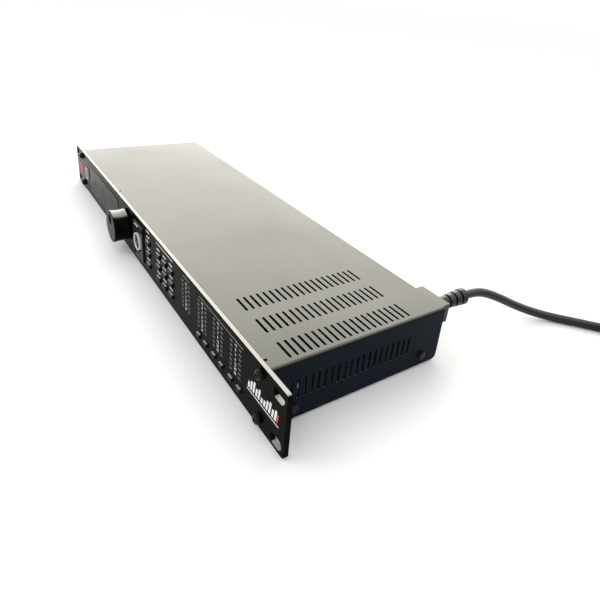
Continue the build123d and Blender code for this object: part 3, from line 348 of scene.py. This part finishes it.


# Finishes with an up-facing layer get a painted sheen: their faces that look up are painted lighter and
# coated, standing in for light caught from above.
finishes = {
    # Painted glare: the cover's top is painted lighter and warmer than its sides.
    "cover_paint": finish_material("cover_paint", (0.003, 0.006, 0.011), (0.015, 0.02, 0.03),
                                   rough=(0.38, 0.46), grain=1500.0, bump=0.2, specular=0.04, sheen=1.0,
                                   scuff_amount=0.15, sheen_colour=(0.080, 0.077, 0.060)),
    "tray_metal": finish_material("tray_metal", (0.008, 0.010, 0.014), (0.03, 0.03, 0.034),
                                  rough=(0.4, 0.55), grain=1500.0, bump=0.2, specular=0.2),
    # Painted highlight: the panel's top edge is painted near white.
    "panel_paint": finish_material("panel_paint", (0.003, 0.0024, 0.0022), (0.02, 0.016, 0.014),
                                   rough=(0.12, 0.2), grain=600.0, bump=0.04, specular=0.012, sheen=1.0,
                                   scuff_amount=0.15, sheen_roughness=0.25, sheen_colour=(0.42, 0.41, 0.36),
                                   sheen_start=0.8),
    "screw_black": finish_material("screw_black", (0.006, 0.006, 0.006), (0.03, 0.03, 0.03),
                                   rough=(0.2, 0.35), grain=2000.0, bump=0.1, specular=0.15),
    "lens": finish_material("lens", (0.010, 0.008, 0.006), (0.06, 0.05, 0.04), rough=(0.15, 0.3),
                            grain=420.0, bump=0.6, bump_distance=0.0002, patch=60.0, specular=0.03,
                            scuff_scale=260.0, scuff_amount=0.8),
    "display_metal": finish_material("display_metal", (0.5, 0.5, 0.48), (0.3, 0.3, 0.28),
                                     rough=(0.3, 0.45), metallic=1.0),
    "socket_metal": finish_material("socket_metal", (0.62, 0.62, 0.61), (0.45, 0.45, 0.44),
                                    rough=(0.4, 0.5), metallic=0.6, bump=0.05),
    "steel": finish_material("steel", (0.6, 0.6, 0.6), (0.35, 0.34, 0.33), rough=(0.25, 0.4), metallic=1.0),
    "brass": finish_material("brass", (0.70, 0.58, 0.30), (0.45, 0.36, 0.2), rough=(0.25, 0.4), metallic=1.0),
    # Painted highlight: a pale band is painted along the knob's top.
    "knob_plastic": finish_material("knob_plastic", (0.003, 0.003, 0.0033), (0.015, 0.015, 0.015),
                                    rough=(0.14, 0.22), grain=700.0, bump=0.04, specular=0.02, sheen=1.0,
                                    sheen_roughness=0.14, sheen_colour=(0.36, 0.36, 0.34),
                                    sheen_start=0.72, sheen_full=0.9),
    # Painted highlight: the button tops are painted pale.
    "button_plastic": finish_material("button_plastic", (0.010, 0.009, 0.009), (0.04, 0.04, 0.04),
                                      rough=(0.22, 0.36), grain=1800.0, bump=0.08, specular=0.04, sheen=1.0,
                                      sheen_roughness=0.2, sheen_colour=(0.4, 0.4, 0.38)),
    # Painted highlight: the latches' tops are painted near white.
    "latch_plastic": finish_material("latch_plastic", (0.008, 0.008, 0.008), (0.03, 0.03, 0.03),
                                     rough=(0.2, 0.3), grain=1200.0, bump=0.06, specular=0.2, sheen=1.0,
                                     sheen_roughness=0.15, sheen_colour=(0.5, 0.5, 0.48)),
    "ring_nickel": finish_material("ring_nickel", (0.70, 0.71, 0.71), (0.5, 0.5, 0.49), rough=(0.3, 0.4),
                                   metallic=0.15, bump=0.05),
    "led_plastic": finish_material("led_plastic", (0.045, 0.042, 0.034), (0.1, 0.09, 0.08),
                                   rough=(0.2, 0.3), bump=0.02, specular=0.3),
    "board": finish_material("board", (0.012, 0.09, 0.045), (0.05, 0.16, 0.09), rough=(0.3, 0.45),
                             grain=500.0, bump=0.2),
    "component_black": finish_material("component_black", (0.02, 0.02, 0.022), (0.07, 0.07, 0.07),
                                       rough=(0.45, 0.6), grain=1500.0, bump=0.15),
    "transformer_core": finish_material("transformer_core", (0.10, 0.075, 0.05), (0.2, 0.17, 0.13),
                                        rough=(0.4, 0.6), grain=400.0, bump=0.2),
    # Painted sheen: faces of the socket plastic that look up are painted a little lighter.
    "socket_plastic": finish_material("socket_plastic", (0.010, 0.011, 0.013), (0.035, 0.035, 0.037),
                                      rough=(0.32, 0.48), grain=1800.0, bump=0.12, specular=0.25, sheen=0.7,
                                      sheen_colour=(0.06, 0.058, 0.053)),
    # Painted sheen: the top of the lead is painted a little lighter.
    "cord_pvc": finish_material("cord_pvc", (0.006, 0.0065, 0.008), (0.025, 0.025, 0.028),
                                rough=(0.3, 0.42), grain=1300.0, patch=30.0, bump=0.15, specular=0.3,
                                sheen=0.6, sheen_colour=(0.05, 0.05, 0.05)),
    "rocker_plastic": finish_material("rocker_plastic", (0.008, 0.008, 0.008), (0.035, 0.035, 0.035),
                                      rough=(0.16, 0.28), grain=900.0, bump=0.06, specular=0.3),
}

slot_of = {entry["node"]: entry["material_slot"] for entry in frame["record"]["subparts"]}
OWN_FINISH = {"mic_socket_latch": "latch_plastic", "input_latch_1": "latch_plastic",
              "input_latch_2": "latch_plastic", "socket_rings": "ring_nickel"}


def dress_cad_nodes():
    """Every CAD node takes the finish of its slot, apart from the latches and the socket rings."""
    for name, node in nodes.items():
        node.data.materials.clear()
        node.data.materials.append(finishes[OWN_FINISH.get(name, slot_of[name])])


dress_cad_nodes()
cord.data.materials.append(finishes["cord_pvc"])


def band_outline(half_width, low, high, corner):
    """Points of a rounded rectangle round the bundle of turns: outwards from its middle, and up."""
    points = []
    for quarter, (side, level) in enumerate(((1, high - corner), (-1, high - corner),
                                             (-1, low + corner), (1, low + corner))):
        for step in range(6):
            bend = radians(90 * quarter + 18 * step)
            points.append((side * (half_width - corner) + corner * cos(bend), level + corner * sin(bend)))
    return points


def make_coil_tie():
    """A flat plastic tie wrapped round the bundle of turns, with its lock and its free tongue."""
    angle = radians(TIE_ANGLE)
    radial = Vector((cos(angle), sin(angle), 0))
    along = Vector((-sin(angle), cos(angle), 0))
    centre = Vector((coil_middle.x, coil_middle.y, 0)) + radial * (coil_outer + coil_inner) / 2
    top = coil_high.z + TIE_THICKNESS
    rings = (band_outline(cord_diameter + TIE_THICKNESS, 0.0, top, 3.5 * MM),
             band_outline(cord_diameter, TIE_THICKNESS, coil_high.z, 2.6 * MM))
    bm = bmesh.new()
    loops = [[bm.verts.new(centre + radial * out + along * half + Vector((0, 0, up))) for out, up in ring]
             for ring in rings for half in (-TIE_WIDTH / 2, TIE_WIDTH / 2)]
    count = len(rings[0])
    for first, second in ((0, 1), (1, 3), (3, 2), (2, 0)):
        for index in range(count):
            after = (index + 1) % count
            bm.faces.new((loops[first][index], loops[second][index],
                          loops[second][after], loops[first][after]))
    lock_place = centre + radial * (cord_diameter + 2.2 * MM) + Vector((0, 0, coil_high.z / 2))
    tongue_place = lock_place + radial * 5.0 * MM + Vector((0, 0, 1.2 * MM))
    for place, size in ((lock_place, (4.0 * MM, 6.4 * MM, 5.4 * MM)),
                        (tongue_place, (9.0 * MM, 3.6 * MM, 0.9 * MM))):
        for vert in bmesh.ops.create_cube(bm, size=1.0)["verts"]:
            x, y, z = vert.co
            vert.co = place + radial * x * size[0] + along * y * size[1] + Vector((0, 0, z * size[2]))
    bmesh.ops.recalc_face_normals(bm, faces=bm.faces[:])
    tie = new_piece("coil_tie", mesh_from(bm, "coil_tie"), "root",
                    finishes["socket_plastic"])
    bevel = tie.modifiers.new("edges", "BEVEL")
    bevel.width = 0.2 * MM
    bevel.segments = 2
    bevel.limit_method = "ANGLE"
    return tie


coil_tie = make_coil_tie()


# ------------------------------------------------------------------ print on the panel
print_white = finish_material("print_white", (0.72, 0.72, 0.70), (0.4, 0.4, 0.38),
                              rough=(0.4, 0.5), bump=0.05)
print_grey = finish_material("print_grey", (0.26, 0.26, 0.25), (0.15, 0.15, 0.14),
                             rough=(0.4, 0.5), bump=0.05)
print_red = finish_material("print_red", (0.55, 0.02, 0.03), (0.3, 0.02, 0.02),
                            rough=(0.4, 0.5), bump=0.05)
PRINT_HEIGHT = 0.08 * MM
FUNCTION_COLUMNS = (22.0, 47.0, 60.8, 74.6)
FUNCTION_ROWS = (31.1, 20.9, 10.7)
OUTPUT_METERS = (133.3, 158.0, 182.8)
INPUT_METER = 104.5
METER_ROWS = 7
METER_LOWEST = 16.0
METER_PITCH = 3.4
LABEL_RISE = 5.3
LABEL_WIDTH = 5.2
LABEL_GAP = 0.9
LABEL_HEIGHT = 1.2
LABEL_INDENT = 3.2


def print_bars(name, bars, material):
    """A group of flat printed bars: middle x and z, width and height in millimetres, and lean."""
    bm = bmesh.new()
    for x, z, width, height, lean in bars:
        add_bar(bm, (x * MM, face_y - PRINT_HEIGHT / 2, z * MM),
                (width * MM, PRINT_HEIGHT, height * MM), lean)
    return new_piece(name, mesh_from(bm, name), "root", material)


def button_labels():
    """Short strokes over each function button, and a rule over each group."""
    bars = []
    for row, z in enumerate(FUNCTION_ROWS):
        for column, x in enumerate(FUNCTION_COLUMNS):
            first = 1.8 + ((row * 5 + column * 3) % 4) * 0.5
            second = LABEL_WIDTH - first
            left = x - LABEL_INDENT
            bars.append((left + first / 2, z + LABEL_RISE, first, LABEL_HEIGHT, 0.0))
            bars.append((left + first + LABEL_GAP + second / 2, z + LABEL_RISE, second, LABEL_HEIGHT, 0.0))
    bars.append((FUNCTION_COLUMNS[0], 41.2, 8.0, 0.9, 0.0))
    bars.append((60.8, 41.3, 36.0, 0.6, 0.0))
    return bars


def level_mark(left, base, count, pitch, heights, width, lean):
    """A row of upright bars of different heights, like a level display."""
    return [(left + index * pitch, base + heights[index % len(heights)] / 2, width,
             heights[index % len(heights)], lean) for index in range(count)]


def print_panel():
    """All the print on the panel, in white, grey and red."""
    right_mark = level_mark(200.6, 19.2, 11, 3.0, (4.4, 6.6, 8.2, 5.6, 7.4, 3.8), 1.9, 0.15)
    white = button_labels() + right_mark
    white.append((216.2, 17.4, 36.0, 0.7, 0.0))
    print_bars("print_white", white, print_white)
    grey = [(INPUT_METER, 40.4, 1.0, 0.4, 0.0)] + [(x, 39.2, 1.0, 0.4, 0.0) for x in OUTPUT_METERS]
    grey.append((160.0, 39.6, 64.0, 0.35, 0.0))
    grey.append((INPUT_METER, 40.6, 12.0, 0.35, 0.0))
    grey.append((-226.0, 15.8, 24.0, 0.7, 0.0))
    print_bars("print_grey", grey, print_grey)
    red = level_mark(-235.0, 17.6, 6, 3.4, (9.0, 11.5, 7.0), 2.2, 0.15)
    red.append((232.6, 22.4, 1.8, 5.6, 0.15))
    print_bars("print_red", red, print_red)


print_panel()


def scale_numbers():
    """Level numbers between each pair of light columns."""
    bm = bmesh.new()
    labels = ("30", "20", "12", "6", "3", "0", "+3")
    for x in (INPUT_METER, *OUTPUT_METERS):
        for row in range(METER_ROWS):
            curve = bpy.data.curves.new("number", "FONT")
            curve.body = labels[row]
            curve.size = 2.9 * MM
            curve.align_x = "CENTER"
            curve.align_y = "CENTER"
            curve.extrude = PRINT_HEIGHT / 2
            text = bpy.data.objects.new("number", curve)
            bpy.context.scene.collection.objects.link(text)
            bpy.context.view_layer.update()
            mesh = bpy.data.meshes.new_from_object(text)
            place = Vector((x * MM, face_y - PRINT_HEIGHT / 2, (METER_LOWEST + row * METER_PITCH) * MM))
            mesh.transform(Matrix.Translation(place) @ Matrix.Rotation(pi / 2, 4, "X"))
            bm.from_mesh(mesh)
            bpy.data.objects.remove(text)
            bpy.data.meshes.remove(mesh)
    return new_piece("scale_numbers", mesh_from(bm, "scale_numbers"), "root", print_white)


scale_numbers()


# ------------------------------------------------------------------ floor, light and world
def make_stage():
    """Pale floor that runs out of sight."""
    bm = bmesh.new()
    bmesh.ops.create_grid(bm, x_segments=1, y_segments=1, size=60.0)
    floor = bpy.data.objects.new("floor", mesh_from(bm, "floor"))
    bpy.context.scene.collection.objects.link(floor)
    material = bpy.data.materials.new("floor_pale")
    material.use_nodes = True
    shader = material.node_tree.nodes["Principled BSDF"]
    shader.inputs["Base Color"].default_value = (0.92, 0.92, 0.92, 1)
    shader.inputs["Roughness"].default_value = 0.9
    shader.inputs["Specular IOR Level"].default_value = 0.0
    floor.data.materials.append(material)


def add_area(name, place, target, size, power, colour=(1, 1, 1)):
    """A soft rectangular light that looks at a point."""
    data = bpy.data.lights.new(name, "AREA")
    data.shape = "RECTANGLE"
    data.size = size[0]
    data.size_y = size[1]
    data.energy = power
    data.color = colour
    lamp = bpy.data.objects.new(name, data)
    bpy.context.scene.collection.objects.link(lamp)
    lamp.location = place
    lamp.rotation_euler = (Vector(target) - Vector(place)).to_track_quat("-Z", "Y").to_euler()
    return lamp


def make_light():
    """A big soft light behind the far end, which the cover mirrors, in an evenly bright room."""
    add_area("rear_softbox", (-1.75, 1.05, 1.15), (0, 0, 0), (2.8, 2.0), 56.0, (1.0, 0.98, 0.87))
    add_area("front_fill", (-0.9, -1.6, 1.8), (0, 0, 0), (1.2, 1.2), 9.0)
    world = bpy.data.worlds.new("world")
    world.use_nodes = True
    world.node_tree.nodes["Background"].inputs["Color"].default_value = (1, 1, 1, 1)
    world.node_tree.nodes["Background"].inputs["Strength"].default_value = 1.08
    bpy.context.scene.world = world
    bpy.context.scene.view_settings.view_transform = "Standard"


make_stage()
make_light()
